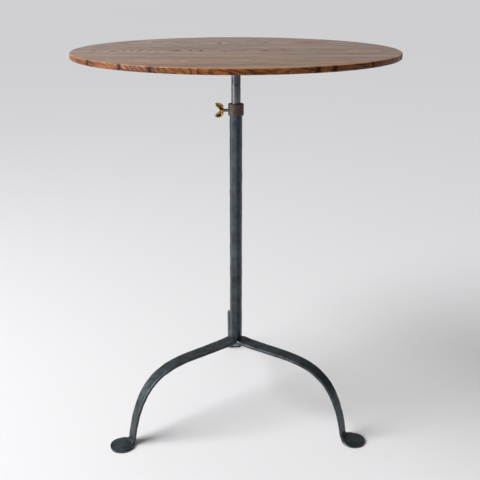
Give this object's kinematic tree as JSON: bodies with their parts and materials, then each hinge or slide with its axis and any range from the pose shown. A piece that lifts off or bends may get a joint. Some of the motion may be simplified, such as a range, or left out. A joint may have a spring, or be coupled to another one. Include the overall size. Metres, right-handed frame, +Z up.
{
  "type": "tilt top table",
  "caption": "Round wooden tilt-top table on a height-adjustable iron post with a wing screw and forged tripod strap legs ending in round pad feet.",
  "frame": {"origin": "on the post's axis, at the floor under the feet", "axes": "+Z up along the post, +X to the right along the top's grain, the hinge and the front edge at -Y, the wing screw at -X"},
  "size_m": [0.59, 0.59, 0.735],
  "materials": {
    "black_iron": "forged iron, blued black and waxed, hammer marks",
    "rusty_iron": "forged iron with a thin brown rust bloom",
    "rod_iron": "worn dark steel, rubbed brighter by sliding",
    "brass": "cast brass, tarnished with bright worn high spots",
    "oak": "solid open-grained hardwood, waxed, grain along X",
    "screw_steel": "dull plain steel"
  },
  "bodies": {
    "base": {"post_tube": "black_iron", "post_plug": "black_iron", "post_collar": "rusty_iron", "leg_back": "black_iron", "leg_left": "black_iron", "leg_right": "black_iron"},
    "guide": {"guide_bush": "brass"},
    "rod": {"inner_rod": "rod_iron", "bush_washer": "screw_steel", "bush_screw": "screw_steel", "head_plate": "black_iron", "hinge_pin": "screw_steel"},
    "top": {"top_board_1": "oak", "top_board_2": "oak", "top_board_3": "oak", "batten_left": "oak", "batten_right": "oak", "top_plate": "black_iron", "plate_screw_1": "screw_steel", "plate_screw_2": "screw_steel", "plate_screw_3": "screw_steel", "plate_screw_4": "screw_steel", "plate_screw_5": "screw_steel", "plate_screw_6": "screw_steel", "batten_screw_1": "screw_steel", "batten_screw_2": "screw_steel", "batten_screw_3": "screw_steel", "batten_screw_4": "screw_steel", "batten_screw_5": "screw_steel", "batten_screw_6": "screw_steel", "catch_spacer": "screw_steel", "catch_screw": "screw_steel"},
    "catch": {"catch_button": "black_iron"},
    "clamp": {"clamp_pad": "brass", "clamp_stud": "black_iron", "clamp_wing": "brass"}
  },
  "joints": [
    {"name": "height_slide", "type": "slide", "parent": "base", "child": "guide", "axis": [0, 0, 1], "range_m": [-0.06, 0.22]},
    {"name": "swivel", "type": "hinge", "parent": "guide", "child": "rod", "pos_m": [0, 0, 0.5], "axis": [0, 0, 1], "continuous": true},
    {"name": "tilt", "type": "hinge", "parent": "rod", "child": "top", "pos_m": [0, -0.052, 0.717], "axis": [1, 0, 0], "range_deg": [0, 90]},
    {"name": "catch_turn", "type": "hinge", "parent": "top", "child": "catch", "pos_m": [0, 0.056, 0.7138], "axis": [0, 0, 1], "range_deg": [0, 90]},
    {"name": "clamp_turn", "type": "hinge", "parent": "base", "child": "clamp", "pos_m": [-0.02, 0, 0.624], "axis": [-1, 0, 0], "range_deg": [0, 720]}
  ]
}
